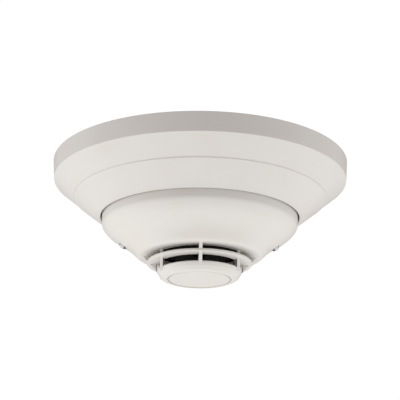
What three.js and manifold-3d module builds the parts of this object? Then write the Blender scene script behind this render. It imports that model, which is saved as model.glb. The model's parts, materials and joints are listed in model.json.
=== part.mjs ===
// Ceiling heat detector: a flanged plug-in base and a removable detector head.
// Millimetres, +Z up. The origin is the centre of the base's flat back, which
// lies against the ceiling at z = 0; the detector hangs down along -Z.
import * as THREE from 'three';
import { mergeVertices, mergeGeometries } from 'three/addons/utils/BufferGeometryUtils.js';
import Module from 'manifold-3d';

const wasm = await Module();
wasm.setup();

// ---------------------------------------------------------------- dimensions
const SEG = 48;                 // facets round the large turned shells
// base
const BACK_R = 77.5;            // outer radius at the ceiling
const CREASE_R = 76.8, CREASE_Z = -9.9;   // where the side wall meets the flange cone
const STEP_R = 66.1, STEP_Z = -18.7, STEP_H = 0.5;  // fine step round the flange
const MOUTH_R = 52.0, MOUTH_Z = -29.7;    // opening that the head plugs into
const WELL_WALL = 2.4;          // wall round the well
const FLOOR_T = 3.2;            // mounting plate thickness
const WIRE_X = 17.0, WIRE_Y = 13.0, BRIDGE_W = 7;   // wiring openings either side of a centre bridge
const BOX_SLOT_R = [41.5, 49.5], BOX_SLOT_W = 4.6;  // slots for 83 to 99 mm box screws
const SMALL_SLOT_R = [27.5, 32.5];        // slots for 60 mm box screws
// bayonet
const LUG_AZ = [30, 150, 270];
const LUG_R = [42.3, 46.0], LUG_Z = [-12.4, -10.2];
const HOOK_R = [43.2, 48.6], HOOK_LEDGE_Z = [-14.8, -12.8];
// contacts
const CONTACT_AZ = [45, 135, 225, 315];
const SCREW_R = 30;
// head
const CHASSIS_BACK_Z = -15.5, CHASSIS_T = 2.1, CHASSIS_R = 50.9;
const BOARD_R = 45.5, BOARD_Z = [-24.4, -22.8];
const POST_R = 34, POST_AZ = [90, 210, 330];
const DIAL_X = 11, DIAL_R = 5;
// nose
const LIP_R = 30.6;             // rounded lower lip of the dome
const RING = { ri: 20.7, ro: 27.2, z0: -54.2, z1: -52.75 };
const CAP_R = 21.9, CAP_Z = -58.2, NOSE_Z = -62.15;
const RIB_T = 2.15, SIDE_RIB_X = 19.6, SIDE_RIB_T = 1.9, BRIDGE_T = 2.0;
// indicator light pipes
const PIPE_R = 40.6, PIPE_Z = -42.7, PIPE_TILT = 35.3, PIPE_RAD = 2.2, PIPE_AZ = [9, 171];
const LED_R = 28.9;

// ------------------------------------------------------------------- helpers
const rad = (d) => (d * Math.PI) / 180;

function clean(geo) {
  const g = geo.clone();
  for (const k of Object.keys(g.attributes)) if (k !== 'position') g.deleteAttribute(k);
  return mergeVertices(g, 1e-4);
}

// drop sliver triangles that collapse when vertices merge
function compact(g) {
  const idx = g.index.array, out = [];
  for (let i = 0; i < idx.length; i += 3) {
    const [a, b, c] = [idx[i], idx[i + 1], idx[i + 2]];
    if (a !== b && b !== c && c !== a) out.push(a, b, c);
  }
  g.setIndex(out);
  return g;
}

function volume(g) {
  const p = g.attributes.position, idx = g.index.array;
  const a = new THREE.Vector3(), b = new THREE.Vector3(), c = new THREE.Vector3();
  let v = 0;
  for (let i = 0; i < idx.length; i += 3) {
    a.fromBufferAttribute(p, idx[i]); b.fromBufferAttribute(p, idx[i + 1]); c.fromBufferAttribute(p, idx[i + 2]);
    v += a.dot(b.cross(c));
  }
  return v / 6;
}

function solid(geo) {
  const g = compact(clean(geo));
  if (volume(g) < 0) {
    const idx = g.index.array;
    for (let i = 0; i < idx.length; i += 3) { const t = idx[i]; idx[i] = idx[i + 1]; idx[i + 1] = t; }
  }
  return new wasm.Manifold(new wasm.Mesh({
    numProp: 3,
    vertProperties: new Float32Array(g.attributes.position.array),
    triVerts: new Uint32Array(g.index.array),
  }));
}

function geometryOf(man) {
  const m = man.getMesh();
  const g = new THREE.BufferGeometry();
  const n = m.numProp, v = m.vertProperties, pos = new Float32Array((v.length / n) * 3);
  for (let i = 0, j = 0; i < v.length; i += n, j += 3) {
    pos[j] = v[i]; pos[j + 1] = v[i + 1]; pos[j + 2] = v[i + 2];
  }
  g.setAttribute('position', new THREE.BufferAttribute(pos, 3));
  g.setIndex(new THREE.BufferAttribute(new Uint32Array(m.triVerts), 1));
  g.computeVertexNormals();
  return g;
}

const union = (list) => list.reduce((a, b) => a.add(b));
const cut = (a, list) => list.reduce((s, b) => s.subtract(b), a);

// profile: [r, z] points; a profile that leaves the axis closes on itself
function turned(profile, seg = SEG) {
  const pts = profile.map(([r, z]) => new THREE.Vector2(r, z));
  const onAxis = profile[0][0] === 0 && profile[profile.length - 1][0] === 0;
  if (!onAxis) pts.push(pts[0].clone());
  const g = new THREE.LatheGeometry(pts, seg);
  g.rotateX(Math.PI / 2);       // the lathe's axis becomes Z
  return solid(g);
}

function prism(points, z0, z1) {
  const s = new THREE.Shape(points.map(([x, y]) => new THREE.Vector2(x, y)));
  const g = new THREE.ExtrudeGeometry(s, { depth: z1 - z0, bevelEnabled: false, curveSegments: 12 });
  g.translate(0, 0, z0);
  return g;
}

const block = (x0, x1, y0, y1, z0, z1) => prism([[x0, y0], [x1, y0], [x1, y1], [x0, y1]], z0, z1);

function rod(r, z0, z1, seg = 24) {
  const g = new THREE.CylinderGeometry(r, r, z1 - z0, seg);
  g.rotateX(Math.PI / 2);
  g.translate(0, 0, (z0 + z1) / 2);
  return g;
}

// sector of a ring between two radii and two azimuths
function sector(r0, r1, a0, a1, z0, z1, n = 8) {
  const pts = [];
  for (let i = 0; i <= n; i++) { const a = rad(a0 + ((a1 - a0) * i) / n); pts.push([r1 * Math.cos(a), r1 * Math.sin(a)]); }
  for (let i = n; i >= 0; i--) { const a = rad(a0 + ((a1 - a0) * i) / n); pts.push([r0 * Math.cos(a), r0 * Math.sin(a)]); }
  return prism(pts, z0, z1);
}

// section drawn in (radius, z), given a width across, standing on azimuth az
function radialBlade(section, width, az) {
  const s = new THREE.Shape(section.map(([r, z]) => new THREE.Vector2(r, z)));
  const g = new THREE.ExtrudeGeometry(s, { depth: width, bevelEnabled: false });
  g.translate(0, 0, -width / 2);
  g.rotateX(Math.PI / 2);       // (r, z) now lie in the XZ plane, width along Y
  g.rotateZ(rad(az));
  return g;
}

const spun = (g, az) => g.clone().rotateZ(rad(az));
const moved = (g, x, y, z = 0) => g.clone().translate(x, y, z);

// --------------------------------------------------------------- the group
const group = new THREE.Group();
const WHITE = [0xe6e3dc, 0.45, 0.0], GREY = [0xb9bab7, 0.35, 0.9], BRASS = [0xc9a45a, 0.35, 0.9];
const BLACK = [0x161618, 0.6, 0.0], GREEN = [0x1f6b3c, 0.5, 0.0], CLEAR = [0xf2f4f2, 0.08, 0.0];

function add(name, man, [color, roughness, metalness]) {
  const geo = man.isBufferGeometry ? geometryOf(solid(man)) : geometryOf(man);
  const mesh = new THREE.Mesh(geo, new THREE.MeshStandardMaterial({ color, roughness, metalness }));
  mesh.name = name;
  group.add(mesh);
}

// ------------------------------------------------------------------ the base
// One moulding: side wall, conical flange with its fine step, the well wall and
// the mounting plate, with concentric and radial stiffening webs behind it.
const WO = MOUTH_R + WELL_WALL;
const shell = turned([
  [0, 0], [WO, 0], [WO, -25.1], [64.6, -17.3], [74.4, -9.0], [75.0, 0],
  [BACK_R, 0], [CREASE_R + 0.05, CREASE_Z + 0.5], [CREASE_R - 0.4, CREASE_Z - 0.25],
  [STEP_R, STEP_Z], [STEP_R - 0.1, STEP_Z - STEP_H],
  [MOUTH_R + 0.75, MOUTH_Z + 0.12], [MOUTH_R + 0.25, MOUTH_Z], [MOUTH_R, MOUTH_Z + 0.3],
  [MOUTH_R, -FLOOR_T], [0, -FLOOR_T],
]);
const webs = [turned([[64.0, -0.6], [64.0, -18.4], [65.4, -18.4], [65.4, -0.6]])];
for (let i = 0; i < 16; i++) {
  webs.push(solid(radialBlade([[54.0, -1.0], [54.0, -26.0], [64.6, -17.9], [74.8, -9.6], [75.6, -9.0], [75.6, -1.0]], 1.4, i * 22.5 + 11.25)));
}
const baseAdds = [];
for (const az of CONTACT_AZ) baseAdds.push(solid(spun(block(24.6, 35.6, -4.6, 4.6, -8.0, -1.5), az)));
for (const az of LUG_AZ) {
  baseAdds.push(solid(sector(46.4, HOOK_R[1], az - 11, az + 13.5, HOOK_LEDGE_Z[0], -1.5)));
  baseAdds.push(solid(sector(HOOK_R[0], 47.0, az - 11, az + 11.4, HOOK_LEDGE_Z[0], HOOK_LEDGE_Z[1])));
  baseAdds.push(solid(sector(HOOK_R[0], 47.0, az + 11.2, az + 13.5, HOOK_LEDGE_Z[0], -1.5)));
}
baseAdds.push(solid(block(13.4, 16.6, 44.6, 49.6, -8.6, -1.5)));    // root of the tamper lever
const baseCuts = [];
{
  // two wiring openings either side of the bridge, with rounded corners
  const [x0, x1, y1, k] = [BRIDGE_W / 2, WIRE_X, WIRE_Y, 1.2], pts = [];
  for (const [cx, cy, a] of [[x1 - k, y1 - k, 0], [x0 + k, y1 - k, 90], [x0 + k, k - y1, 180], [x1 - k, k - y1, 270]]) {
    for (let i = 0; i <= 3; i++) pts.push([cx + k * Math.cos(rad(a + 30 * i)), cy + k * Math.sin(rad(a + 30 * i))]);
  }
  const d = prism(pts, -6, 3);
  baseCuts.push(solid(d), solid(spun(d, 180)));
}
function slot(r0, r1, w, az) {
  const pts = [], k = w / 2;
  for (let i = 0; i <= 8; i++) { const a = rad(-90 + (180 * i) / 8); pts.push([r1 - k + k * Math.cos(a), k * Math.sin(a)]); }
  for (let i = 0; i <= 8; i++) { const a = rad(90 + (180 * i) / 8); pts.push([r0 + k + k * Math.cos(a), k * Math.sin(a)]); }
  return solid(spun(prism(pts, -6, 3), az));
}
baseCuts.push(slot(BOX_SLOT_R[0], BOX_SLOT_R[1], BOX_SLOT_W, 0), slot(BOX_SLOT_R[0], BOX_SLOT_R[1], BOX_SLOT_W, 180));
baseCuts.push(slot(SMALL_SLOT_R[0], SMALL_SLOT_R[1], BOX_SLOT_W, 90), slot(SMALL_SLOT_R[0], SMALL_SLOT_R[1], BOX_SLOT_W, 270));
for (const az of CONTACT_AZ) baseCuts.push(solid(spun(moved(rod(2.15, -9, -2.0, 16), SCREW_R, 0), az)));
add('base_body', cut(union([shell, ...webs, ...baseAdds]), baseCuts), WHITE);

// wiring terminals: spring strip, clamp plate and screw, one set per terminal
CONTACT_AZ.forEach((az, i) => {
  const strip = solid(radialBlade([[24.6, -8.3], [40.2, -8.3], [41.3, -7.3], [41.9, -7.8], [40.6, -9.1], [24.6, -9.1]], 7, az));
  const hole = solid(spun(moved(rod(2.15, -11, -6, 16), SCREW_R, 0), az));
  add(`base_contact_${i + 1}`, strip.subtract(hole), BRASS);
  const plate = solid(spun(block(SCREW_R - 4.4, SCREW_R + 4.4, -4.4, 4.4, -10.6, -9.4), az));
  const lip = solid(spun(block(SCREW_R - 4.4, SCREW_R - 3.6, -4.4, 4.4, -11.6, -10.4), az));
  add(`terminal_clamp_${i + 1}`, plate.add(lip).subtract(hole), GREY);
  const screw = turned([[0, -2.7], [1.75, -3.2], [1.75, -10.9], [3.3, -10.9], [3.3, -12.4], [2.5, -13.2], [0, -13.4]], 16)
    .subtract(solid(block(-3, 3, -0.45, 0.45, -14, -12.2))).subtract(solid(block(-0.45, 0.45, -3, 3, -14, -12.2)));
  add(`terminal_screw_${i + 1}`, solid(spun(moved(geometryOf(screw), SCREW_R, 0), az)), GREY);
});

// tamper lever: a springy arm along the edge of the plate with a tooth at its free end
add('tamper_lever', union([
  solid(block(-10, 13.0, 45.6, 48.8, -7.2, -5.6)),
  solid(block(-10, -7.4, 45.6, 48.8, -9.5, -6.4)),
  solid(block(8.6, 13.0, 45.6, 48.8, -8.0, -5.6)),
]), WHITE);

// ------------------------------------------------------------------ the head
// back moulding: plate, spigot for the cover, bayonet ring with three lugs
{
  const T = CHASSIS_BACK_Z - CHASSIS_T;
  let body = union([
    turned([[0, CHASSIS_BACK_Z], [CHASSIS_R, CHASSIS_BACK_Z], [CHASSIS_R, T], [49.3, T], [49.3, -27], [47.5, -27], [47.5, T], [0, T]]),
    turned([[40.8, -10.2], [40.8, -16.2], [42.8, -16.2], [42.8, -10.2]]),
    ...LUG_AZ.map((az) => solid(sector(LUG_R[0], LUG_R[1], az - 9, az + 10.2, LUG_Z[0], LUG_Z[1]))),
    ...POST_AZ.map((az) => solid(spun(moved(rod(3.3, -22.5, -17.0, 24), POST_R, 0), az))),
  ]);
  body = cut(body, [
    ...POST_AZ.map((az) => solid(spun(moved(rod(1.45, -23.5, -17.2, 16), POST_R, 0), az))),
    ...[-DIAL_X, DIAL_X].map((x) => solid(moved(rod(5.6, -19, -14, 32), x, 0))),
    ...CONTACT_AZ.map((az) => solid(spun(block(34.1, 35.9, -1.7, 1.7, -19, -14), az))),
  ]);
  add('head_chassis', body, WHITE);
}
CONTACT_AZ.forEach((az, i) => {
  const blade = union([
    solid(radialBlade([[35.4, -9.6], [39.6, -9.6], [39.6, -15.2], [34.0, -15.2], [34.0, -14.4], [38.8, -14.4], [38.8, -10.4], [35.4, -10.4]], 6, az)),
    solid(spun(block(34.6, 35.4, -1.2, 1.2, -25.4, -14.6), az)),
  ]);
  add(`head_contact_${i + 1}`, blade, BRASS);
});

// circuit board and what it carries
add('circuit_board', cut(turned([[0, BOARD_Z[1]], [BOARD_R, BOARD_Z[1]], [BOARD_R, BOARD_Z[0]], [0, BOARD_Z[0]]], 48), [
  ...POST_AZ.map((az) => solid(spun(moved(rod(1.6, -26, -21, 16), POST_R, 0), az))),
  ...CONTACT_AZ.map((az) => solid(spun(block(34.2, 35.8, -1.6, 1.6, -26, -21), az))),
]), GREEN);
POST_AZ.forEach((az, i) => {
  const screw = turned([[0, -18.0], [1.1, -18.6], [1.1, -24.7], [2.7, -24.7], [2.7, -25.6], [1.9, -26.4], [0, -26.5]], 12)
    .subtract(solid(block(-2, 2, -0.35, 0.35, -27, -25.6))).subtract(solid(block(-0.35, 0.35, -2, 2, -27, -25.6)));
  add(`board_screw_${i + 1}`, solid(spun(moved(geometryOf(screw), POST_R, 0), az)), GREY);
});
add('microcontroller', union([
  solid(block(-5, 5, -38, -28, -26.1, -24.9)), solid(block(-5.9, 5.9, -37, -29, -25.3, -24.7)), solid(block(-4, 4, -38.9, -27.1, -25.3, -24.7)),
]), BLACK);
add('filter_capacitor', solid(moved(geometryOf(turned([[0, -24.7], [4.0, -24.7], [4.0, -32.8], [3.5, -33.4], [0, -33.4]], 24)), -31, 14)), GREY);
add('surge_suppressor', union([solid(block(13.0, 18.0, -31, -27, -27.2, -24.9)), solid(block(11.8, 19.2, -30, -28, -25.5, -24.7))]), BLACK);
{
  const g = geometryOf(turned([[0, -8.4], [0.35, -8.4], [0.35, -6.4], [1.0, -6.1], [1.35, -5.3], [1.35, 5.3], [1.0, 6.1], [0.35, 6.4], [0.35, 8.4], [0, 8.4]], 12));
  g.rotateY(Math.PI / 2);
  add('reed_switch', solid(g.translate(0, 33.5, -26.4).rotateZ(rad(-22.5))), CLEAR);
}
for (const [name, x] of [['tens', -DIAL_X], ['ones', DIAL_X]]) {
  add(`address_switch_${name}`, solid(block(x - 5, x + 5, -5, 5, -22.5, -18.0)), BLACK);
  const dial = cut(turned([[0, -14.95], [4.6, -14.95], [DIAL_R, -15.35], [DIAL_R, -17.6], [0, -17.6]], 28), [
    solid(block(-3.6, 3.6, -0.6, 0.6, -15.75, -14)),
    solid(prism([[3.9, 0], [2.2, 1.5], [2.2, -1.5]], -15.75, -14)),
  ]);
  add(`address_dial_${name}`, solid(moved(geometryOf(dial), x, 0)), WHITE);
}
for (const [name, s] of [['left', PIPE_AZ[1]], ['right', PIPE_AZ[0]]]) {
  add(`led_${name}`, union([
    solid(spun(block(LED_R - 1.6, LED_R + 1.6, -1.6, 1.6, -25.6, -24.7), s)),
    solid(spun(moved(geometryOf(turned([[0, -25.2], [1.2, -25.2], [1.2, -25.9], [0.8, -26.4], [0, -26.55]], 16)), LED_R, 0), s)),
  ]), CLEAR);
}

// thermistor on its two leads, the tube that holds it, and the black shroud
// that keeps the air stream off the board
add('thermistor', union([
  turned([[0, -50.9], [0.9, -51.1], [1.35, -52.0], [1.2, -53.0], [0.6, -53.6], [0, -53.7]], 20),
  solid(moved(rod(0.3, -51.8, -24.8, 8), -0.7, 0)), solid(moved(rod(0.3, -51.8, -24.8, 8), 0.7, 0)),
]), BLACK);
add('thermistor_holder', turned([[2.9, -24.7], [2.9, -49.6], [3.6, -49.6], [4.3, -48.6], [4.3, -26.0], [5.4, -24.7]], 24), BLACK);
add('sensor_guard', turned([[4.8, -46.5], [4.8, -48.0], [20.8, -48.0], [21.4, -47.4], [20.4, -24.9], [19.0, -24.9], [19.9, -46.5]], 40), BLACK);

// ------------------------------------------------------------------ the cover
// dome, mid ring, ribs and nose cap in one moulding
{
  const dome = turned([
    [49.6, -18.2], [51.15, -18.2], [51.15, -33.0], [50.5, -34.9], [49.0, -36.7],
    [47.0, -38.5], [44.0, -40.5], [40.0, -43.05], [37.0, -45.35], [34.5, -47.75],
    [32.4, -49.75], [LIP_R, -50.3], [29.0, -50.28], [23.0, -50.1], [22.2, -49.7], [22.2, -48.2],
    [31.0, -48.2], [33.6, -45.6],
    [38.9, -41.5], [44.6, -37.8], [48.5, -34.4], [49.6, -32.2],
  ]);
  const ring = turned([[RING.ri, RING.z1], [RING.ri, RING.z0], [RING.ro - 0.3, RING.z0], [RING.ro, RING.z0 + 0.3], [RING.ro, RING.z1 - 0.2], [RING.ro - 0.3, RING.z1]], 48);
  const cap = turned([
    [0, -59.9], [16.5, -59.9], [19.0, -58.9], [20.2, -57.6], [CAP_R - 0.4, -57.6], [CAP_R, CAP_Z], [21.1, -59.7],
    [20.1, -60.8], [19.1, -61.6], [18.2, -62.05], [17.5, NOSE_Z], [16.75, NOSE_Z], [16.7, -61.2], [15.7, -61.2], [15.65, -61.98], [0, -61.98],
  ], 48);
  // the ribs stand between the lip and the rim of the cap and end on one cone
  const front = [[29.3, -49.6], [29.6, -50.2], [27.35, -52.75], [22.0, -58.4], [20.9, -59.6], [19.4, -59.2], [19.4, -48.6], [22.6, -48.6], [22.6, -49.6]];
  const side = [[15.6, -49.2], [14.2, -54.2], [10.7, -58.4], [9.6, -59.7], [6.0, -59.2], [6.0, -49.0], [10.8, -49.0], [10.8, -49.2]];
  const bridge = [[29.3, -49.6], [29.6, -50.2], [27.35, -52.75], [22.0, -58.4], [20.9, -59.6], [20.6, -59.0], [22.0, -57.8], [22.0, -49.6]];
  const ribs = [];
  for (const s of [-90, 90]) {
    ribs.push(solid(radialBlade(front, RIB_T, s)));
    for (const x of [-SIDE_RIB_X, SIDE_RIB_X]) {
      const g = radialBlade(side, SIDE_RIB_T, 0);   // drawn along +X, turned to lie along Y
      ribs.push(solid(g.rotateZ(rad(s)).translate(x, 0, 0)));
    }
    ribs.push(solid(radialBlade(bridge, BRIDGE_T, s + 90)));
  }
  const t = rad(PIPE_TILT), holes = [];
  for (const s of PIPE_AZ) {
    const h = rod(PIPE_RAD + 0.35, -6, 8, 20);
    h.rotateY(-t); h.translate(PIPE_R, 0, PIPE_Z); h.rotateZ(rad(s));
    holes.push(solid(h));
  }
  add('head_cover', cut(union([dome, ring, cap, ...ribs]), holes), WHITE);
}
for (const [name, s] of [['left', PIPE_AZ[1]], ['right', PIPE_AZ[0]]]) {
  const g = geometryOf(turned([[0, -1.3], [1.1, -1.1], [1.9, -0.5], [PIPE_RAD, 0.2], [PIPE_RAD, 18.0], [0, 18.0]], 18));
  g.rotateY(-rad(PIPE_TILT)); g.translate(PIPE_R, 0, PIPE_Z); g.rotateZ(rad(s));
  add(`light_pipe_${name}`, solid(g), CLEAR);
}

export default group;
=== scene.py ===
# Ceiling heat detector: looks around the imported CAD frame.
# Shapes are worked out in millimetres and scaled to metres when a piece is made.
import bpy, bmesh, json, math
from mathutils import Matrix, Quaternion, Vector


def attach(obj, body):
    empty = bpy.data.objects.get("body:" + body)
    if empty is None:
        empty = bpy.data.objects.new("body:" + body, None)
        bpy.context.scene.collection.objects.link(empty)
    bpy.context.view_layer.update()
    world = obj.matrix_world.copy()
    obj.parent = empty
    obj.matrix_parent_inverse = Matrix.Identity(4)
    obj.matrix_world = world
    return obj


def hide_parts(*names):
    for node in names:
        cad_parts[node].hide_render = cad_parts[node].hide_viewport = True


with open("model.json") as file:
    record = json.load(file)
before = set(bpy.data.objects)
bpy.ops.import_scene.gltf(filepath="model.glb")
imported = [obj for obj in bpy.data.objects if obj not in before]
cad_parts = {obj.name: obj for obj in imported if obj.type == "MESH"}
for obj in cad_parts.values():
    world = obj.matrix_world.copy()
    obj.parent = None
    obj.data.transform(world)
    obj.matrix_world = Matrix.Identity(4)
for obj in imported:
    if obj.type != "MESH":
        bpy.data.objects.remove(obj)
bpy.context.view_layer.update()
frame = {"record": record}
SCENE = bpy.context.scene
rad = math.radians

# ------------------------------------------------------------------ camera
cam = bpy.data.objects.new("camera", bpy.data.cameras.new("camera"))
SCENE.collection.objects.link(cam)
SCENE.camera = cam
REF = Vector((0.0, 0.0, -0.025))
ELEV, TURN = rad(17.889), rad(1.2)
cam.location = REF + Vector((-math.sin(TURN) * math.cos(ELEV), -math.cos(TURN) * math.cos(ELEV), -math.sin(ELEV))) * 0.650
cam.rotation_mode = "QUATERNION"
cam.rotation_quaternion = (REF - cam.location).to_track_quat("-Z", "Y") @ Quaternion((0.0, 0.0, 1.0), rad(0.5))
cam.data.sensor_width = 36.0
cam.data.lens = 111.4
cam.data.shift_x = 0.0002
cam.data.shift_y = 0.0288
cam.data.clip_start, cam.data.clip_end = 0.01, 50.0


# ------------------------------------------------------- meshes, millimetres
def mesh_of(bm):
    bmesh.ops.recalc_face_normals(bm, faces=bm.faces)
    me = bpy.data.meshes.new("m")
    bm.to_mesh(me)
    bm.free()
    return me


def placed(me, matrix):
    me = me.copy()
    me.transform(matrix)
    return me


def spun(me, az):
    return placed(me, Matrix.Rotation(rad(az), 4, "Z"))


def moved(me, x, y, z=0.0):
    return placed(me, Matrix.Translation((x, y, z)))


def joined(parts):
    bm = bmesh.new()
    for p in parts:
        bm.from_mesh(p)
    me = bpy.data.meshes.new("m")
    bm.to_mesh(me)
    bm.free()
    return me


def tinted(me, index):
    for p in me.polygons:
        p.material_index = index
    return me


def boolean(a, b, op):
    oa, ob = bpy.data.objects.new("oa", a), bpy.data.objects.new("ob", b)
    for o in (oa, ob):
        SCENE.collection.objects.link(o)
    mod = oa.modifiers.new("cut", "BOOLEAN")
    mod.object, mod.operation, mod.solver = ob, op, "MANIFOLD"
    bpy.context.view_layer.update()
    dg = bpy.context.evaluated_depsgraph_get()
    res = bpy.data.meshes.new_from_object(oa.evaluated_get(dg))
    bpy.data.objects.remove(oa)
    bpy.data.objects.remove(ob)
    if not len(res.polygons):
        raise RuntimeError(f"boolean {op} came out empty")
    return res


def add(a, *more):
    for b in more:
        a = boolean(a, b, "UNION")
    return a


def cut(a, *more):
    for b in more:
        a = boolean(a, b, "DIFFERENCE")
    return a


def filleted(points, closed):
    """Points are (r, z) or (r, z, fillet radius). Corners with a radius become arcs."""
    out, n = [], len(points)
    for i, p in enumerate(points):
        f = p[2] if len(p) > 2 else 0.0
        if f <= 0 or (not closed and i in (0, n - 1)):
            out.append((p[0], p[1]))
            continue
        a, b = points[i - 1], points[(i + 1) % n]
        v0 = Vector((a[0] - p[0], a[1] - p[1]))
        v1 = Vector((b[0] - p[0], b[1] - p[1]))
        l0, l1 = v0.length, v1.length
        v0, v1 = v0.normalized(), v1.normalized()
        ang = v0.angle(v1)
        t = min(f / math.tan(ang / 2), 0.48 * l0, 0.48 * l1)
        r = t * math.tan(ang / 2)
        p0 = Vector((p[0], p[1])) + v0 * t
        p1 = Vector((p[0], p[1])) + v1 * t
        mid = (v0 + v1).normalized()
        c = Vector((p[0], p[1])) + mid * (r / math.sin(ang / 2))
        a0 = math.atan2(p0.y - c.y, p0.x - c.x)
        a1 = math.atan2(p1.y - c.y, p1.x - c.x)
        d = (a1 - a0 + math.pi) % (2 * math.pi) - math.pi
        k = max(2, round(abs(math.degrees(d)) / 15))
        for j in range(k + 1):
            q = a0 + d * j / k
            out.append((c.x + r * math.cos(q), c.y + r * math.sin(q)))
    return out


def smooth_line(points, steps=4):
    """Centripetal Catmull-Rom through the points."""
    pts = [Vector(p[:2]) for p in points]
    ext = [pts[0] * 2 - pts[1]] + pts + [pts[-1] * 2 - pts[-2]]
    out = []
    for i in range(1, len(ext) - 2):
        p0, p1, p2, p3 = ext[i - 1 : i + 3]
        t0 = 0.0
        t1 = t0 + (p1 - p0).length ** 0.5
        t2 = t1 + (p2 - p1).length ** 0.5
        t3 = t2 + (p3 - p2).length ** 0.5
        for j in range(steps):
            t = t1 + (t2 - t1) * j / steps
            a1 = p0 * ((t1 - t) / (t1 - t0)) + p1 * ((t - t0) / (t1 - t0))
            a2 = p1 * ((t2 - t) / (t2 - t1)) + p2 * ((t - t1) / (t2 - t1))
            a3 = p2 * ((t3 - t) / (t3 - t2)) + p3 * ((t - t2) / (t3 - t2))
            b1 = a1 * ((t2 - t) / (t2 - t0)) + a2 * ((t - t0) / (t2 - t0))
            b2 = a2 * ((t3 - t) / (t3 - t1)) + a3 * ((t - t1) / (t3 - t1))
            c = b1 * ((t2 - t) / (t2 - t1)) + b2 * ((t - t1) / (t2 - t1))
            out.append((c.x, c.y))
    out.append(tuple(pts[-1]))
    return out


def turned(profile, seg=192):
    """A body of revolution about Z. A profile whose ends are on the axis is closed by poles."""
    open_ = profile[0][0] == 0 and profile[-1][0] == 0
    pts = filleted(profile, not open_)
    bm = bmesh.new()
    rings = []
    for r, z in pts:
        if r < 1e-9:
            rings.append([bm.verts.new((0, 0, z))])
        else:
            rings.append([bm.verts.new((r * math.cos(2 * math.pi * i / seg), r * math.sin(2 * math.pi * i / seg), z)) for i in range(seg)])
    pairs = list(zip(rings, rings[1:])) + ([] if open_ else [(rings[-1], rings[0])])
    for a, b in pairs:
        if len(a) == 1 and len(b) == 1:
            continue
        for i in range(seg):
            j = (i + 1) % seg
            if len(a) == 1:
                bm.faces.new((a[0], b[i], b[j]))
            elif len(b) == 1:
                bm.faces.new((a[i], a[j], b[0]))
            else:
                bm.faces.new((a[i], a[j], b[j], b[i]))
    return mesh_of(bm)


def bevelled(bm, width, segments=2, min_angle=25):
    if width > 0:
        edges = [e for e in bm.edges if len(e.link_faces) == 2 and e.calc_face_angle() > rad(min_angle)]
        bmesh.ops.bevel(bm, geom=edges, offset=width, offset_type="OFFSET", segments=segments, profile=0.5, affect="EDGES", clamp_overlap=True)
    return bm


def prism(points, z0, z1, bevel=0.0, segments=2):
    bm = bmesh.new()
    lo = [bm.verts.new((x, y, z0)) for x, y in points]
    hi = [bm.verts.new((x, y, z1)) for x, y in points]
    n = len(points)
    bm.faces.new(lo[::-1])
    bm.faces.new(hi)
    for i in range(n):
        j = (i + 1) % n
        bm.faces.new((lo[i], lo[j], hi[j], hi[i]))
    bmesh.ops.recalc_face_normals(bm, faces=bm.faces)
    return mesh_of(bevelled(bm, bevel, segments))


def block(x0, x1, y0, y1, z0, z1, bevel=0.0, segments=2):
    return prism([(x0, y0), (x1, y0), (x1, y1), (x0, y1)], z0, z1, bevel, segments)


def sector(r0, r1, a0, a1, z0, z1, bevel=0.0, n=24):
    pts = [(r1 * math.cos(rad(a0 + (a1 - a0) * i / n)), r1 * math.sin(rad(a0 + (a1 - a0) * i / n))) for i in range(n + 1)]
    pts += [(r0 * math.cos(rad(a0 + (a1 - a0) * i / n)), r0 * math.sin(rad(a0 + (a1 - a0) * i / n))) for i in range(n, -1, -1)]
    return prism(pts, z0, z1, bevel)


def blade(section, width, az, bevel=0.0, segments=2):
    """A section drawn in (radius, z), given a width across, standing on azimuth az."""
    me = prism([p[:2] for p in section], -width / 2, width / 2, bevel, segments)
    m = Matrix(((1, 0, 0, 0), (0, 0, -1, 0), (0, 1, 0, 0), (0, 0, 0, 1)))   # (x, y, z) -> (x, -z, y)
    return placed(me, Matrix.Rotation(rad(az), 4, "Z") @ m)


def rod(r, z0, z1, seg=48, x=0.0, y=0.0):
    return moved(turned([(0, z0), (r, z0), (r, z1), (0, z1)], seg), x, y)


PIECES = {}
BODY = {n: b for b, ns in frame["record"]["behaviour"]["bodies"].items() for n in ns}


def piece(node, me, materials, sharp=32):
    """Makes the shown form of a CAD node: same place, same body, finer shape."""
    me = me.copy()
    me.transform(Matrix.Scale(0.001, 4))
    bm = bmesh.new()
    bm.from_mesh(me)
    bmesh.ops.remove_doubles(bm, verts=bm.verts, dist=2e-7)
    bmesh.ops.dissolve_degenerate(bm, edges=bm.edges, dist=1e-7)
    for f in bm.faces:
        f.smooth = True
    for e in bm.edges:
        if len(e.link_faces) == 2:
            e.smooth = e.calc_face_angle(0.0) < rad(sharp)
    bm.to_mesh(me)
    bm.free()
    me.name = node + "_form"
    index = [p.material_index for p in me.polygons]
    me.materials.clear()
    for m in materials:
        me.materials.append(m)
    for p, i in zip(me.polygons, index):
        p.material_index = min(i, len(materials) - 1)
    obj = bpy.data.objects.new(node + "_form", me)
    SCENE.collection.objects.link(obj)
    mod = obj.modifiers.new("even_shading", "WEIGHTED_NORMAL")
    mod.keep_sharp, mod.weight = True, 60
    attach(obj, BODY[node])
    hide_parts(node)
    PIECES[node] = obj
    return obj



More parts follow.
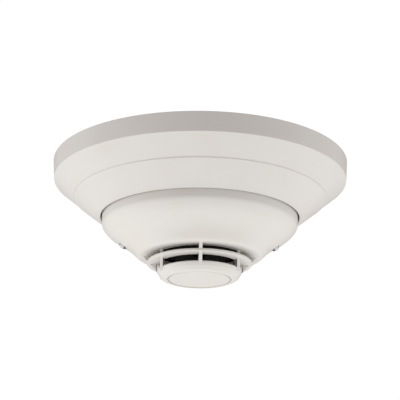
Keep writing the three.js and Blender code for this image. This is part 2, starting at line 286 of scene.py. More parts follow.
# ---------------------------------------------------------------- materials
class Nodes:
    """A Principled material with the few node chains that the finishes below share."""

    def __init__(self, name):
        self.mat = bpy.data.materials.new(name)
        self.mat.use_nodes = True
        self.t = self.mat.node_tree
        self.p = self.t.nodes["Principled BSDF"]
        self.co = self.t.nodes.new("ShaderNodeTexCoord").outputs["Object"]
        self.bump = None

    def link(self, a, b):
        self.t.links.new(a, b)

    def noise(self, size_mm, detail=2.0, rough=0.5, stretch=None):
        n = self.t.nodes.new("ShaderNodeTexNoise")
        n.inputs["Scale"].default_value = 1000.0 / size_mm
        n.inputs["Detail"].default_value = detail
        n.inputs["Roughness"].default_value = rough
        src = self.co
        if stretch:
            m = self.t.nodes.new("ShaderNodeMapping")
            m.inputs["Scale"].default_value = stretch
            self.link(src, m.inputs["Vector"])
            src = m.outputs["Vector"]
        self.link(src, n.inputs["Vector"])
        return n.outputs["Fac"]

    def range(self, fac, lo, hi, a=0.3, b=0.7):
        n = self.t.nodes.new("ShaderNodeMapRange")
        for k, v in (("From Min", a), ("From Max", b), ("To Min", lo), ("To Max", hi)):
            n.inputs[k].default_value = v
        self.link(fac, n.inputs["Value"])
        return n.outputs["Result"]

    def math(self, op, a, b):
        n = self.t.nodes.new("ShaderNodeMath")
        n.operation = op
        for s, v in zip(n.inputs, (a, b)):
            if isinstance(v, (int, float)):
                s.default_value = v
            else:
                self.link(v, s)
        return n.outputs[0]

    def mix(self, fac, a, b):
        n = self.t.nodes.new("ShaderNodeMix")
        n.data_type = "RGBA"
        ins = [s for s in n.inputs if s.type == "RGBA"]
        self.link(fac, n.inputs["Factor"])
        for s, v in zip(ins, (a, b)):
            if isinstance(v, (tuple, list)):
                s.default_value = (*v[:3], 1.0)
            else:
                self.link(v, s)
        return [s for s in n.outputs if s.type == "RGBA"][0]

    def raised(self, height, distance_mm, strength=1.0):
        n = self.t.nodes.new("ShaderNodeBump")
        n.inputs["Strength"].default_value = strength
        n.inputs["Distance"].default_value = distance_mm * 0.001
        self.link(height, n.inputs["Height"])
        if self.bump is not None:
            self.link(self.bump, n.inputs["Normal"])
        self.bump = n.outputs["Normal"]

    def hollow(self, reach_mm):
        """1 in the open, towards 0 deep between parts; it masks the painted shade in the recesses."""
        a = self.t.nodes.new("ShaderNodeAmbientOcclusion")
        a.samples = 6
        a.inputs["Distance"].default_value = reach_mm * 0.001
        return a.outputs["AO"]

    def edges(self, radius_mm):
        """1 on sharp edges, 0 on flat surfaces."""
        b = self.t.nodes.new("ShaderNodeBevel")
        b.samples = 4
        b.inputs["Radius"].default_value = radius_mm * 0.001
        g = self.t.nodes.new("ShaderNodeNewGeometry")
        d = self.t.nodes.new("ShaderNodeVectorMath")
        d.operation = "DOT_PRODUCT"
        self.link(b.outputs["Normal"], d.inputs[0])
        self.link(g.outputs["Normal"], d.inputs[1])
        return self.range(d.outputs["Value"], 1.0, 0.0, 0.80, 0.99)

    def done(self, colour, roughness):
        if isinstance(colour, (tuple, list)):
            self.p.inputs["Base Color"].default_value = (*colour[:3], 1.0)
        else:
            self.link(colour, self.p.inputs["Base Color"])
        self.link(roughness, self.p.inputs["Roughness"])
        if self.bump is not None:
            self.link(self.bump, self.p.inputs["Normal"])
        return self.mat


def tone(c, k, shift=(1.0, 1.0, 1.0)):
    return tuple(min(1.0, v * k * s) for v, s in zip(c, shift))


def moulded(name, colour, rough=0.42, grain=0.30, depth=0.004, wave=0.02, vary=0.02, wear=0.35, warm=0.012, spec=0.5, painted_recess_shade=0.0):
    """Injection-moulded plastic: a fine spark-eroded grain, slow sink waviness, tone that drifts a little, edges rubbed paler and smoother."""
    n = Nodes(name)
    slow, fleck = n.noise(22.0, 3.0), n.noise(1.6, 2.0)
    c = n.mix(n.range(slow, 0.0, 1.0), tone(colour, 1 - vary, (1 + warm, 1.0, 1 - warm)), tone(colour, 1 + vary, (1 - warm / 2, 1.0, 1 + warm / 2)))
    c = n.mix(n.range(fleck, 0.0, 0.10), c, tone(colour, 0.93))
    e = n.edges(0.35)
    c = n.mix(n.math("MULTIPLY", e, wear), c, tone(colour, 1.08))
    # painted shade: a warm dark brown, laid into the recesses by ambient occlusion and broken up a little by the fleck
    # noise, stands in for the shade under the lip and ring
    if painted_recess_shade:
        c = n.mix(n.math("MULTIPLY", n.range(n.hollow(6.0), painted_recess_shade, 0.0, 0.08, 0.50), n.range(fleck, 0.8, 1.0)), c, tone(colour, 0.30, (1.10, 1.0, 0.88)))
    n.p.inputs["Specular IOR Level"].default_value = spec
    r = n.range(n.noise(7.0, 3.0), rough - 0.05, rough + 0.06)
    r = n.math("SUBTRACT", r, n.math("MULTIPLY", e, 0.08))
    n.raised(n.noise(14.0, 1.0), wave * 4)
    n.raised(n.noise(grain, 1.0), depth)
    return n.done(c, r)


def metal(name, colour, rough=0.3, stretch=(1.0, 1.0, 1.0), stain=(0.8, 0.8, 0.8), amount=0.25, depth=0.002):
    n = Nodes(name)
    n.p.inputs["Metallic"].default_value = 1.0
    lines = n.noise(0.5, 3.0, stretch=stretch)
    blot = n.noise(3.0, 4.0, 0.6)
    c = n.mix(n.range(blot, 0.0, amount), colour, tuple(a * b for a, b in zip(colour, stain)))
    e = n.edges(0.15)
    c = n.mix(n.math("MULTIPLY", e, 0.4), c, tone(colour, 1.15))
    r = n.math("ADD", n.range(lines, rough - 0.07, rough + 0.09), n.range(blot, 0.0, 0.08))
    n.raised(lines, depth)
    return n.done(c, r)


def clear(name, colour, rough=0.06):
    n = Nodes(name)
    n.p.inputs["Transmission Weight"].default_value = 1.0
    n.p.inputs["IOR"].default_value = 1.49
    c = n.mix(n.range(n.noise(5.0), 0.0, 1.0), colour, tone(colour, 0.96))
    n.raised(n.noise(2.0), 0.002)
    return n.done(c, n.range(n.noise(1.2, 3.0), rough, rough + 0.08))


def milky(name, colour):
    n = Nodes(name)
    n.p.inputs["Transmission Weight"].default_value = 0.22
    n.p.inputs["IOR"].default_value = 1.49
    n.p.inputs["Coat Weight"].default_value = 0.3
    c = n.mix(n.range(n.noise(1.5, 3.0), 0.0, 1.0), colour, tone(colour, 0.95))
    n.raised(n.noise(0.8), 0.003)
    return n.done(c, n.range(n.noise(1.2, 3.0), 0.16, 0.26))


WHITE_BASE = (0.735, 0.715, 0.690)
WHITE_HEAD = (0.760, 0.742, 0.715)
M_BASE = moulded("base_moulding", WHITE_BASE, rough=0.40)
# the cover gets painted shade in its recesses
M_COVER = moulded("cover_moulding", WHITE_HEAD, rough=0.36, painted_recess_shade=0.60)
M_CHASSIS = moulded("chassis_moulding", tone(WHITE_HEAD, 0.95), rough=0.55, grain=0.45, depth=0.010)
M_LEVER = moulded("lever_moulding", tone(WHITE_BASE, 0.97), rough=0.45)
M_DIAL = moulded("dial_moulding", (0.80, 0.78, 0.72), rough=0.38, grain=0.25)
M_BLACK = moulded("black_moulding", (0.0025, 0.0025, 0.0030), rough=0.75, spec=0.15, grain=0.35, depth=0.008, vary=0.12, wear=0.10, warm=0.0)
M_EPOXY = moulded("epoxy_package", (0.022, 0.022, 0.024), rough=0.58, grain=0.12, depth=0.006, vary=0.15, wear=0.12, warm=0.0)
M_BEAD = moulded("bead_epoxy", (0.018, 0.018, 0.020), rough=0.22, grain=0.8, depth=0.010, vary=0.10, wear=0.0, warm=0.0)
M_SWITCH = moulded("switch_moulding", (0.030, 0.055, 0.095), rough=0.48, grain=0.25, vary=0.08, wear=0.15, warm=0.0)
M_LEDCASE = moulded("led_case", (0.80, 0.79, 0.74), rough=0.5, grain=0.2)
M_BRASS = metal("plated_brass", (0.78, 0.66, 0.42), 0.28, (1.0, 1.0, 9.0), (0.86, 0.74, 0.55))
M_TIN = metal("tinned_lead", (0.74, 0.74, 0.72), 0.34, (1.0, 1.0, 1.0), (0.78, 0.78, 0.78), depth=0.004)
M_ZINC = metal("zinc_steel", (0.70, 0.70, 0.68), 0.33, (1.0, 1.0, 1.0), (0.86, 0.84, 0.76), 0.5)
M_CAN = metal("drawn_can", (0.76, 0.77, 0.79), 0.24, (0.6, 0.6, 0.08), (0.9, 0.9, 0.9))
M_CLEAR = clear("clear_acrylic", (0.95, 0.96, 0.95))
M_MILK = milky("milky_acrylic", (0.82, 0.81, 0.79))
# painted shade: a dark acrylic for both sides of the light pipe tips, where they show dark rims
M_PAINTED_RIM_SHADE = milky("painted_shade_acrylic", (0.14, 0.13, 0.125))
M_LENS = clear("lens_epoxy", (0.95, 0.93, 0.90), 0.10)


def laminate(name, low, high, fibre, rough):
    """Green solder mask over a glass weave, paler where the mask is rubbed off an edge."""
    n = Nodes(name)
    weave = n.noise(0.9, 1.0, stretch=(1.0, 0.35, 1.0))
    c = n.mix(n.range(n.noise(9.0), 0.0, 1.0), low, high)
    c = n.mix(n.range(weave, 0.0, fibre), c, (0.05, 0.19, 0.07))
    c = n.mix(n.math("MULTIPLY", n.edges(0.25), 0.35), c, (0.22, 0.26, 0.13))
    n.raised(weave, 0.004)
    return n.done(c, n.range(n.noise(4.0), rough, rough + 0.10))


M_BOARD = laminate("board_laminate", (0.012, 0.086, 0.034), (0.017, 0.112, 0.046), 0.12, 0.24)
M_TRACK = laminate("masked_copper", (0.038, 0.205, 0.072), (0.048, 0.235, 0.086), 0.04, 0.20)
M_CHIP = moulded("chip_ceramic", (0.30, 0.235, 0.165), rough=0.45, grain=0.2, vary=0.10, warm=0.0)

# -------------------------------------------------------------- the base
LUG_AZ, CONTACT_AZ, POST_AZ = (30, 150, 270), (45, 135, 225, 315), (90, 210, 330)
PIPES = (("left", 171), ("right", 9))

shell = turned([
    (0, 0), (54.4, 0), (54.4, -25.1, 0.8), (64.6, -17.3, 2.0), (74.4, -9.0, 1.5), (75.0, 0, 0.2),
    (77.5, 0, 0.25), (76.82, -9.95, 0.40), (66.1, -18.66, 0.10), (66.02, -19.20, 0.06),
    (52.70, -29.68, 0.34), (52.0, -29.68, 0.26), (52.0, -3.2, 0.5), (0, -3.2),
], 288)
webs = [turned([(64.0, -0.6, 0.3), (64.0, -18.4), (65.4, -18.4), (65.4, -0.6, 0.3)], 192)]
radial = joined([blade([(54.0, -1.0), (54.0, -26.0), (64.6, -17.9), (74.8, -9.6), (75.6, -9.0), (75.6, -1.0)], 1.4, i * 22.5 + 11.25) for i in range(16)])
bosses = joined([spun(block(24.6, 35.6, -4.6, 4.6, -8.0, -1.5, 0.45), az) for az in CONTACT_AZ])
hook_wall = joined([sector(46.4, 48.6, az - 11, az + 13.5, -14.8, -1.5, 0.3) for az in LUG_AZ])
hook_ledge = joined([sector(43.2, 47.0, az - 11, az + 11.4, -14.8, -12.8, 0.3) for az in LUG_AZ])
hook_stop = joined([sector(43.2, 47.0, az + 11.2, az + 13.5, -14.8, -1.5, 0.3, 8) for az in LUG_AZ])
lever_root = block(13.4, 16.6, 44.6, 49.6, -8.6, -1.5, 0.3)


def wiring_opening():
    pts, k = [], 1.2
    for cx, cy, a in ((17.0 - k, 13.0 - k, 0), (3.5 + k, 13.0 - k, 90), (3.5 + k, k - 13.0, 180), (17.0 - k, k - 13.0, 270)):
        pts += [(cx + k * math.cos(rad(a + 11.25 * i)), cy + k * math.sin(rad(a + 11.25 * i))) for i in range(9)]
    return prism(pts, -6, 3)


def slot_cut(r0, r1, w, az):
    k = w / 2
    pts = [(r1 - k + k * math.cos(rad(-90 + 180 * i / 16)), k * math.sin(rad(-90 + 180 * i / 16))) for i in range(17)]
    pts += [(r0 + k + k * math.cos(rad(90 + 180 * i / 16)), k * math.sin(rad(90 + 180 * i / 16))) for i in range(17)]
    return spun(prism(pts, -6, 3), az)


d = wiring_opening()
base_cuts = joined([
    d, spun(d, 180),
    slot_cut(41.5, 49.5, 4.6, 0), slot_cut(41.5, 49.5, 4.6, 180),
    slot_cut(27.5, 32.5, 4.6, 90), slot_cut(27.5, 32.5, 4.6, 270),
    *[spun(rod(2.15, -9, -2.0, 32, 30.0), az) for az in CONTACT_AZ],
])
piece("base_body", cut(add(shell, *webs, radial, bosses, hook_wall, hook_ledge, hook_stop, lever_root), base_cuts), [M_BASE])

cross = joined([block(-3, 3, -0.45, 0.45, -14, -12.2)])
cross2 = block(-0.45, 0.45, -3, 3, -14, -12.2)
term_screw = cut(turned([(0, -2.7), (1.75, -3.2), (1.75, -10.9, 0.1), (3.3, -10.9, 0.12), (3.3, -12.4, 0.5), (2.5, -13.2, 0.8), (0, -13.4)], 64), cross, cross2)
for i, az in enumerate(CONTACT_AZ):
    hole = spun(rod(2.15, -12, -6, 32, 30.0), az)
    strip = blade([(24.6, -8.3), (40.2, -8.3), (41.3, -7.3), (41.9, -7.8), (40.6, -9.1), (24.6, -9.1)], 7, az, 0.12)
    piece(f"base_contact_{i + 1}", cut(strip, hole), [M_BRASS])
    plate = add(spun(block(25.6, 34.4, -4.4, 4.4, -10.6, -9.4, 0.18), az), spun(block(25.6, 26.4, -4.4, 4.4, -11.6, -10.4, 0.15), az))
    piece(f"terminal_clamp_{i + 1}", cut(plate, hole), [M_ZINC])
    piece(f"terminal_screw_{i + 1}", spun(moved(term_screw, 30, 0), az), [M_ZINC])

piece("tamper_lever", add(
    block(-10, 13.0, 45.6, 48.8, -7.2, -5.6, 0.25),
    block(-10, -7.4, 45.6, 48.8, -9.5, -6.4, 0.25),
    block(8.6, 13.0, 45.6, 48.8, -8.0, -5.6, 0.25),
), [M_LEVER])

# -------------------------------------------------------------- the head
chassis = add(
    turned([(0, -15.5), (50.9, -15.5, 0.4), (50.9, -17.6, 0.3), (49.3, -17.6), (49.3, -27, 0.3), (47.5, -27, 0.3), (47.5, -17.6, 0.5), (0, -17.6)], 256),
    turned([(40.8, -10.2, 0.3), (40.8, -16.2), (42.8, -16.2), (42.8, -10.2, 0.3)], 192),
    joined([sector(42.3, 46.0, az - 9, az + 10.2, -12.4, -10.2, 0.35) for az in LUG_AZ]),
    joined([spun(rod(3.3, -22.5, -17.0, 48, 34.0), az) for az in POST_AZ]),
)
chassis = cut(chassis, joined([
    *[spun(rod(1.45, -23.5, -17.2, 32, 34.0), az) for az in POST_AZ],
    *[rod(5.6, -19, -14, 64, x) for x in (-11.0, 11.0)],
    *[spun(block(34.1, 35.9, -1.7, 1.7, -19, -14), az) for az in CONTACT_AZ],
]))
piece("head_chassis", chassis, [M_CHASSIS])
for i, az in enumerate(CONTACT_AZ):
    c = add(
        blade([(35.4, -9.6), (39.6, -9.6), (39.6, -15.2), (34.0, -15.2), (34.0, -14.4), (38.8, -14.4), (38.8, -10.4), (35.4, -10.4)], 6, az, 0.16),
        spun(block(34.6, 35.4, -1.2, 1.2, -25.4, -14.6, 0.10), az),
    )
    piece(f"head_contact_{i + 1}", c, [M_BRASS])

board = cut(turned([(0, -22.8), (45.5, -22.8, 0.12), (45.5, -24.4, 0.12), (0, -24.4)], 192), joined([
    *[spun(rod(1.6, -26, -21, 32, 34.0), az) for az in POST_AZ],
    *[spun(block(34.2, 35.8, -1.6, 1.6, -26, -21), az) for az in CONTACT_AZ],
]))


def track(points, width):
    """A printed track through (radius, azimuth) corners; it runs round the board where the radius stays."""
    path = []
    for (r0, a0), (r1, a1) in zip(points, points[1:]):
        k = max(1, round(abs(a1 - a0) / 3.0))
        path += [(r0 + (r1 - r0) * i / k, a0 + (a1 - a0) * i / k) for i in range(k)]
    path = [Vector((r * math.cos(rad(a)), r * math.sin(rad(a)))) for r, a in path + [points[-1]]]
    left, right = [], []
    for i, q in enumerate(path):
        d0 = (q - path[i - 1]).normalized() if i else (path[1] - q).normalized()
        d1 = (path[i + 1] - q).normalized() if i < len(path) - 1 else d0
        m = (d0 + d1).normalized()
        k = width / 2 / max(0.6, m.dot(d1))
        side_way = Vector((-m.y, m.x)) * k
        left.append(tuple(q + side_way))
        right.append(tuple(q - side_way))
    return prism(left + right[::-1], -24.44, -24.36)


def polar(x, y):
    return math.hypot(x, y), math.degrees(math.atan2(y, x)) % 360


def pad(x, y, w, h, az=0.0, z=-24.46, bevel=0.0):
    return spun(block(x - w / 2, x + w / 2, y - h / 2, y + h / 2, z, -24.36, bevel), az)


tracks = [turned([(42.7, -24.36), (42.7, -24.44), (44.0, -24.44), (44.0, -24.36)], 192)]
ends = ((39.8, 231, 37.6), (40.5, 174, 31.0), (41.2, 151, 36.0), (41.9, 139, 37.6), (41.9, 413.4, 35.4), (41.2, 399, 37.6), (40.5, 366, 31.0), (39.8, 309, 37.6))
for k, (r, az, stop) in enumerate(ends):
    start, way = polar(-3.5 + k, -39.2), (-1 if k < 4 else 1)
    tracks.append(track([start, (r - 0.4, start[1]), (r, start[1] + way), (r, az - way), (r - 0.6, az), (stop, az)], 0.32))
for k in range(8):
    u, deep = -3.5 + k, 1.0 if k % 2 else 2.0
    tracks.append(track([polar(u, -26.9), polar(u, -26.4 + deep)], 0.28))
    for s in (-1, 1):
        tracks.append(track([polar(s * 6.0, -33 + u), polar(s * (6.6 + deep), -33 + u)], 0.28))
tracks += [
    track([(31.0, 293.0), (24.0, 290.0), (22.6, 286.0), (22.6, 233.0), (24.0, 229.0), (32.6, 226.5)], 0.9),
    track([(34.9, 303.6), (36.6, 305.4), (36.6, 310.0), (35.9, 311.8)], 0.9),
    track([(37.4, 133.0), (39.2, 129.0), (39.2, 86.0), (35.4, 81.6)], 0.5),
    track([(32.6, 48.5), (26.0, 50.5), (24.6, 54.0), (24.6, 120.0), (26.0, 124.0), (30.0, 150.0)], 0.7),
    track([(27.2, 9.0), (24.2, 12.0), (24.2, 42.0), (26.4, 46.0)], 0.3),
    track([(27.2, 171.0), (24.2, 174.0), (24.2, 214.0), (26.4, 219.0)], 0.3),
    track([(27.0, 246.0), (30.0, 246.0)], 0.3), track([(27.0, 338.0), (27.0, 352.0), (27.4, 356.0)], 0.3),
    track([(30.5, 100.0), (27.4, 103.0), (27.4, 118.0)], 0.3), track([(36.0, 188.0), (36.0, 200.0)], 0.3),
]
tin = [cut(pad(35, 0, 3.6, 5.0, az, bevel=0.03), spun(block(34.2, 35.8, -1.6, 1.6, -26, -21), az)) for az in CONTACT_AZ]
for k in range(8):
    for az in (0, 90, 180, 270):
        tin.append(moved(pad(5.75, -3.5 + k, 1.1, 0.5, az, -24.70, 0.08), 0, -33))
    deep = 1.0 if k % 2 else 2.0
    for x, y in ((-3.5 + k, -26.4 + deep), (6.6 + deep, -36.5 + k), (-6.6 - deep, -36.5 + k)):
        tin.append(rod(0.36, -24.47, -24.36, 20, x, y))
tin += [pad(12.3, -29, 1.7, 2.4, z=-24.70, bevel=0.1), pad(18.7, -29, 1.7, 2.4, z=-24.70, bevel=0.1)]
chips = []
for r, az, turn in ((27.0, 246, 0), (30.5, 246, 0), (27.0, 338, 90), (31.5, 343, 90), (30.5, 100, 0), (27.4, 118, 90), (36.0, 188, 90), (36.0, 200, 90), (31.5, 24, 0), (31.5, 29, 0), (28.0, 200, 90), (31.5, 235, 0)):
    for part in (tinted(block(-0.55, 0.55, -0.42, 0.42, -24.90, -24.42, 0.05), 3), tinted(block(-0.95, -0.52, -0.45, 0.45, -24.92, -24.40, 0.06), 2), tinted(block(0.52, 0.95, -0.45, 0.45, -24.92, -24.40, 0.06), 2)):
        chips.append(spun(moved(spun(part, turn), r, 0), az))
piece("circuit_board", joined([tinted(board, 0), tinted(joined(tracks), 1), tinted(joined(tin), 2), *chips]), [M_BOARD, M_TRACK, M_TIN, M_CHIP])
board_screw = cut(turned([(0, -18.0), (1.1, -18.6), (1.1, -24.7), (2.7, -24.7, 0.1), (2.7, -25.6, 0.35), (1.9, -26.4, 0.5), (0, -26.5)], 48),
                  block(-2, 2, -0.35, 0.35, -27, -25.6), block(-0.35, 0.35, -2, 2, -27, -25.6))
for i, az in enumerate(POST_AZ):
    piece(f"board_screw_{i + 1}", spun(moved(board_screw, 34, 0), az), [M_ZINC])

# the microcontroller: a moulded body with a pin-one dimple and gull-wing leads on four sides
body = cut(block(-4.9, 4.9, -37.9, -28.1, -26.1, -24.95, 0.18), moved(turned([(0, -26.4), (0.55, -26.4), (0.55, -25.95), (0, -25.85)], 24), -3.9, -29.1))
leads = []
for k in range(8):
    u = -3.5 + k
    lead = [(4.6, -25.62), (5.25, -25.62), (5.45, -24.92), (5.9, -24.92), (5.9, -24.72), (5.3, -24.72), (5.1, -25.42), (4.6, -25.42)]
    for az in (0, 90, 180, 270):
        leads.append(moved(spun(moved(blade(lead, 0.38, 0), 0, u), az), 0, -33))
piece("microcontroller", joined([tinted(body, 0), tinted(joined(leads), 1)]), [M_EPOXY, M_TIN])

# the capacitor: a drawn can with a crimped neck, a vent cross and its seal
can = turned([(0, -24.7), (3.6, -24.7, 0.2), (4.0, -25.1, 0.2), (4.0, -25.9, 0.25), (3.72, -26.35, 0.35), (4.0, -26.8, 0.25), (4.0, -32.8, 0.6), (3.5, -33.38, 0.2), (0, -33.38)], 64)
can = cut(can, block(-2.6, 2.6, -0.14, 0.14, -33.6, -33.2), block(-0.14, 0.14, -2.6, 2.6, -33.6, -33.2))
piece("filter_capacitor", moved(can, -31, 14), [M_CAN])

body = block(13.0, 18.0, -31, -27, -27.2, -24.95, 0.22)
legs = joined([
    prism([(18.0, -30), (19.15, -30), (19.15, -28), (18.0, -28)], -25.5, -24.72, 0.12),
    prism([(11.85, -30), (13.0, -30), (13.0, -28), (11.85, -28)], -25.5, -24.72, 0.12),
])
piece("surge_suppressor", joined([tinted(body, 0), tinted(legs, 1)]), [M_EPOXY, M_TIN])

# the reed switch: a glass tube sealed round two flat blades
glass = turned([(0, -6.6), (0.55, -6.6), (0.9, -6.25, 0.3), (1.35, -5.3, 0.8), (1.35, 5.3, 0.8), (0.9, 6.25, 0.3), (0.55, 6.6), (0, 6.6)], 48)
void = turned([(0, -5.0), (0.7, -5.0, 0.3), (1.0, -4.2, 0.4), (1.0, 4.2, 0.4), (0.7, 5.0, 0.3), (0, 5.0)], 32)
wires = joined([
    turned([(0, -8.4), (0.33, -8.4), (0.33, -6.7), (0, -6.7)], 20), turned([(0, 6.7), (0.33, 6.7), (0.33, 8.4), (0, 8.4)], 20),
    block(-0.45, 0.45, -0.16, -0.04, -4.8, 0.9, 0.02), block(-0.45, 0.45, 0.04, 0.16, -0.9, 4.8, 0.02),
])
reed = joined([tinted(cut(glass, void), 0), tinted(wires, 1)])
reed = placed(reed, Matrix.Rotation(rad(-22.5), 4, "Z") @ Matrix.Translation((0, 33.5, -26.4)) @ Matrix.Rotation(rad(90), 4, "Y"))
piece("reed_switch", reed, [M_CLEAR, M_TIN])

for name, x in (("tens", -11.0), ("ones", 11.0)):
    case = block(x - 5, x + 5, -5, 5, -22.5, -18.0, 0.25)
    case = cut(case, joined([block(x - 5.2, x + 5.2, -5.2, -4.85, -20.6, -20.35), block(x - 5.2, x + 5.2, 4.85, 5.2, -20.6, -20.35)]))
    piece(f"address_switch_{name}", case, [M_SWITCH])
    dial = cut(turned([(0, -14.95), (4.6, -14.95, 0.15), (5.0, -15.35, 0.15), (5.0, -17.6, 0.1), (0, -17.6)], 96),
               block(-3.6, 3.6, -0.6, 0.6, -15.75, -14), prism([(3.9, 0), (2.2, 1.5), (2.2, -1.5)], -15.75, -14))
    piece(f"address_dial_{name}", moved(dial, x, 0), [M_DIAL])
for name, s in PIPES:
    case = block(28.9 - 1.6, 28.9 + 1.6, -1.6, 1.6, -25.55, -24.7, 0.12)
    lens = moved(turned([(0, -25.6), (1.2, -25.6), (1.2, -25.9, 0.3), (0.8, -26.4, 0.4), (0, -26.55)], 40), 28.9, 0)
    piece(f"led_{name}", spun(joined([tinted(case, 0), tinted(lens, 1)]), s), [M_LEDCASE, M_LENS])

bead = turned([(0, -50.9), (0.9, -51.1, 0.3), (1.35, -52.0, 0.6), (1.2, -53.0, 0.6), (0.6, -53.6, 0.3), (0, -53.7)], 40)
wires = joined([rod(0.3, -50.95, -24.8, 16, -0.7), rod(0.3, -50.95, -24.8, 16, 0.7)])
piece("thermistor", joined([tinted(bead, 0), tinted(wires, 1)]), [M_BEAD, M_TIN])
piece("thermistor_holder", turned([(2.9, -24.7), (2.9, -49.6, 0.2), (3.6, -49.6, 0.3), (4.3, -48.6, 0.4), (4.3, -26.0, 0.6), (5.4, -24.7, 0.1)], 96), [M_BLACK])
piece("sensor_guard", turned([(4.8, -46.5, 0.2), (4.8, -48.0, 0.2), (20.8, -48.0, 0.5), (21.4, -47.4, 0.5), (20.4, -24.9, 0.2), (19.0, -24.9, 0.2), (19.9, -46.5, 0.5)], 160), [M_BLACK])

# -------------------------------------------------------------- the cover
outer = smooth_line([
    (51.15, -33.0), (50.85, -34.2), (50.25, -35.2), (49.4, -36.2), (48.4, -37.25), (47.0, -38.45), (45.0, -39.85), (43.0, -41.1),
    (40.0, -43.05), (37.0, -45.35), (34.5, -47.75), (33.2, -49.05), (32.3, -49.75), (31.4, -50.15), (30.4, -50.3), (29.0, -50.28),
], 3)
inner = [(22.2, -48.2, 0.2), (31.0, -48.2, 1.5), (33.6, -45.6, 3.0), (38.9, -41.5, 3.0), (44.6, -37.8, 3.0), (48.5, -34.4, 1.5), (49.6, -32.2, 1.5)]
dome = turned([(49.6, -18.2, 0.2), (51.15, -18.2, 0.3), *outer, (23.0, -50.1, 0.5), (22.2, -49.7, 0.2), *inner], 288)
ring = turned([(20.7, -52.75, 0.15), (20.7, -54.2, 0.15), (27.2, -54.2, 0.45), (27.2, -52.75, 0.45)], 256)
cap = turned([
    (0, -59.9), (16.5, -59.9, 1.0), (19.0, -58.9, 1.0), (20.2, -57.6, 0.2), (21.6, -57.6, 0.3), (21.9, -58.2, 0.4), (21.1, -59.75, 1.2),
    (19.3, -61.55, 1.6), (17.9, -62.15, 0.9), (16.75, -62.15, 0.15), (16.7, -61.2, 0.08), (15.7, -61.2, 0.08), (15.65, -61.98, 0.15), (0, -61.98),
], 256)
# every rib ends on one cone, from the lip to the rim of the cap
front = [(29.3, -49.6), (29.6, -50.2), (27.35, -52.75), (22.0, -58.4), (20.9, -59.6), (19.4, -59.2), (19.4, -48.6), (22.6, -48.6), (22.6, -49.6)]
side = [(15.6, -49.2), (14.2, -54.2), (10.7, -58.4), (9.6, -59.7), (6.0, -59.2), (6.0, -49.0), (10.8, -49.0), (10.8, -49.2)]
bridge = [(29.3, -49.6), (29.6, -50.2), (27.35, -52.75), (22.0, -58.4), (20.9, -59.6), (20.6, -59.0), (22.0, -57.8), (22.0, -49.6)]
ribs = []
for s in (-90, 90):
    ribs.append(blade(front, 1.75, s, 0.3, 3))
    for x in (-19.6, 19.6):
        ribs.append(moved(spun(blade(side, 1.5, 0, 0.25, 3), s), x, 0))
    ribs.append(blade(bridge, 2.0, s + 90, 0.3, 3))
cover = add(dome, joined([ring, cap]), joined(ribs))
tilt, holes = rad(35.3), []
for name, s in PIPES:
    holes.append(placed(rod(2.55, -6, 8, 64), Matrix.Rotation(rad(s), 4, "Z") @ Matrix.Translation((40.6, 0, -42.7)) @ Matrix.Rotation(-tilt, 4, "Y")))
piece("head_cover", cut(cover, joined(holes)), [M_COVER])
pipe = turned([(0, -1.3), (0.55, -1.26), (1.05, -1.12), (1.4, -0.93), (1.7, -0.7), (1.95, -0.42), (2.13, -0.1), (2.2, 0.3), (2.2, 18.0, 0.15), (0, 18.0)], 64)
for p in pipe.polygons:     # the tip gets painted shade at both sides: a dark acrylic stands in for its dark, shaded rims; the pale band across the tip is the milky acrylic itself
    p.material_index = 1 if abs(p.center.x) > 0.85 + 0.25 * abs(p.center.y) and p.center.z < 17.0 else 0
for name, s in PIPES:
    piece(f"light_pipe_{name}", placed(pipe, Matrix.Rotation(rad(s), 4, "Z") @ Matrix.Translation((40.6, 0, -42.7)) @ Matrix.Rotation(-tilt, 4, "Y")), [M_MILK, M_PAINTED_RIM_SHADE])

# ------------------------------------------------------- floor and light
bm = bmesh.new()
bmesh.ops.create_grid(bm, x_segments=8, y_segments=8, size=6.0)
floor_mesh = bpy.data.meshes.new("floor")
bm.to_mesh(floor_mesh)
bm.free()
floor = bpy.data.objects.new("floor", floor_mesh)
floor.location = (0, 0, -1.35)
SCENE.collection.objects.link(floor)
n = Nodes("floor_paper")
n.raised(n.noise(30.0, 3.0), 0.2)
floor_mesh.materials.append(n.done(n.mix(n.range(n.noise(400.0), 0.0, 1.0), (0.82, 0.82, 0.81), (0.86, 0.86, 0.85)), n.range(n.noise(60.0), 0.6, 0.7)))
floor.visible_diffuse = floor.visible_glossy = floor.visible_shadow = False   # it shows, and leaves the light as it is

world = bpy.data.worlds.new("studio")
SCENE.world = world
world.use_nodes = True
t = world.node_tree
t.nodes.clear()
out = t.nodes.new("ShaderNodeOutputWorld")
mixer = t.nodes.new("ShaderNodeMixShader")
path = t.nodes.new("ShaderNodeLightPath")
room, seen = t.nodes.new("ShaderNodeBackground"), t.nodes.new("ShaderNodeBackground")
# the room is bright below and to the sides, and dim above the horizon in front
direction = t.nodes.new("ShaderNodeTexCoord")
axes = t.nodes.new("ShaderNodeSeparateXYZ")
t.links.new(direction.outputs["Generated"], axes.inputs[0])


def calc(op, a, b, c=None):
    n = t.nodes.new("ShaderNodeMath")
    n.operation = op
    for s, v in zip(n.inputs, (a, b, c)):
        if v is None:
            continue
        if isinstance(v, (int, float)):
            s.default_value = v
        else:
            t.links.new(v, s)
    return n.outputs[0]


def ramp(v, f0, f1, t0, t1):
    n = t.nodes.new("ShaderNodeMapRange")
    n.interpolation_type = "SMOOTHSTEP"
    for k, q in (("From Min", f0), ("From Max", f1), ("To Min", t0), ("To Max", t1)):
        n.inputs[k].default_value = q
    t.links.new(v, n.inputs["Value"])
    return n.outputs[0]


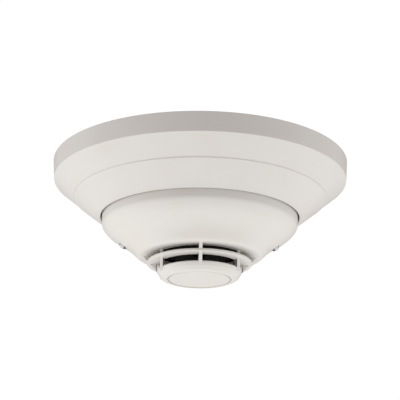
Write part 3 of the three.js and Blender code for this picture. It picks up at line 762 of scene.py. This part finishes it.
x, y, z = axes.outputs
low = ramp(z, 0.20, -0.45, 0.125, 0.762)
left = ramp(x, -0.20, -0.95, 0.0, 0.70)
right = ramp(x, 0.20, 0.95, 0.0, 0.60)
t.links.new(calc("ADD", low, calc("ADD", left, right)), room.inputs["Strength"])
warm = t.nodes.new("ShaderNodeMix")
warm.data_type = "RGBA"
tints = [q for q in warm.inputs if q.type == "RGBA"]
tints[0].default_value, tints[1].default_value = (1.0, 0.990, 0.970, 1.0), (1.0, 0.82, 0.80, 1.0)
frontal = calc("MULTIPLY", ramp(z, -0.40, 0.10, 0.0, 1.0), ramp(calc("ABSOLUTE", x, None), 0.20, 0.95, 1.0, 0.0))
t.links.new(frontal, warm.inputs["Factor"])
t.links.new([q for q in warm.outputs if q.type == "RGBA"][0], room.inputs["Color"])
seen.inputs["Color"].default_value = (1.0, 1.0, 1.0, 1.0)
seen.inputs["Strength"].default_value = 1.02
t.links.new(path.outputs["Is Camera Ray"], mixer.inputs[0])
t.links.new(room.outputs[0], mixer.inputs[1])
t.links.new(seen.outputs[0], mixer.inputs[2])
t.links.new(mixer.outputs[0], out.inputs["Surface"])


def softbox(name, where, aim, w, h, watts, colour=(1.0, 1.0, 1.0)):
    lamp = bpy.data.lights.new(name, "AREA")
    lamp.shape, lamp.size, lamp.size_y, lamp.energy, lamp.color = "RECTANGLE", w, h, watts, colour
    o = bpy.data.objects.new(name, lamp)
    o.location = where
    o.rotation_mode = "QUATERNION"
    o.rotation_quaternion = (Vector(aim) - Vector(where)).to_track_quat("-Z", "Y")
    o.visible_camera = False
    SCENE.collection.objects.link(o)


softbox("below", (0.0, 0.05, -0.85), (0, 0, -0.03), 1.2, 1.0, 0.9)
softbox("left", (-0.85, -0.05, -0.35), (0, 0, -0.03), 0.7, 0.7, 0.5)
softbox("right", (0.85, -0.05, -0.35), (0, 0, -0.03), 0.7, 0.7, 0.3)

SCENE.view_settings.view_transform = "Standard"
SCENE.view_settings.look = "None"
SCENE.view_settings.exposure = 0.0
SCENE.view_settings.gamma = 1.0
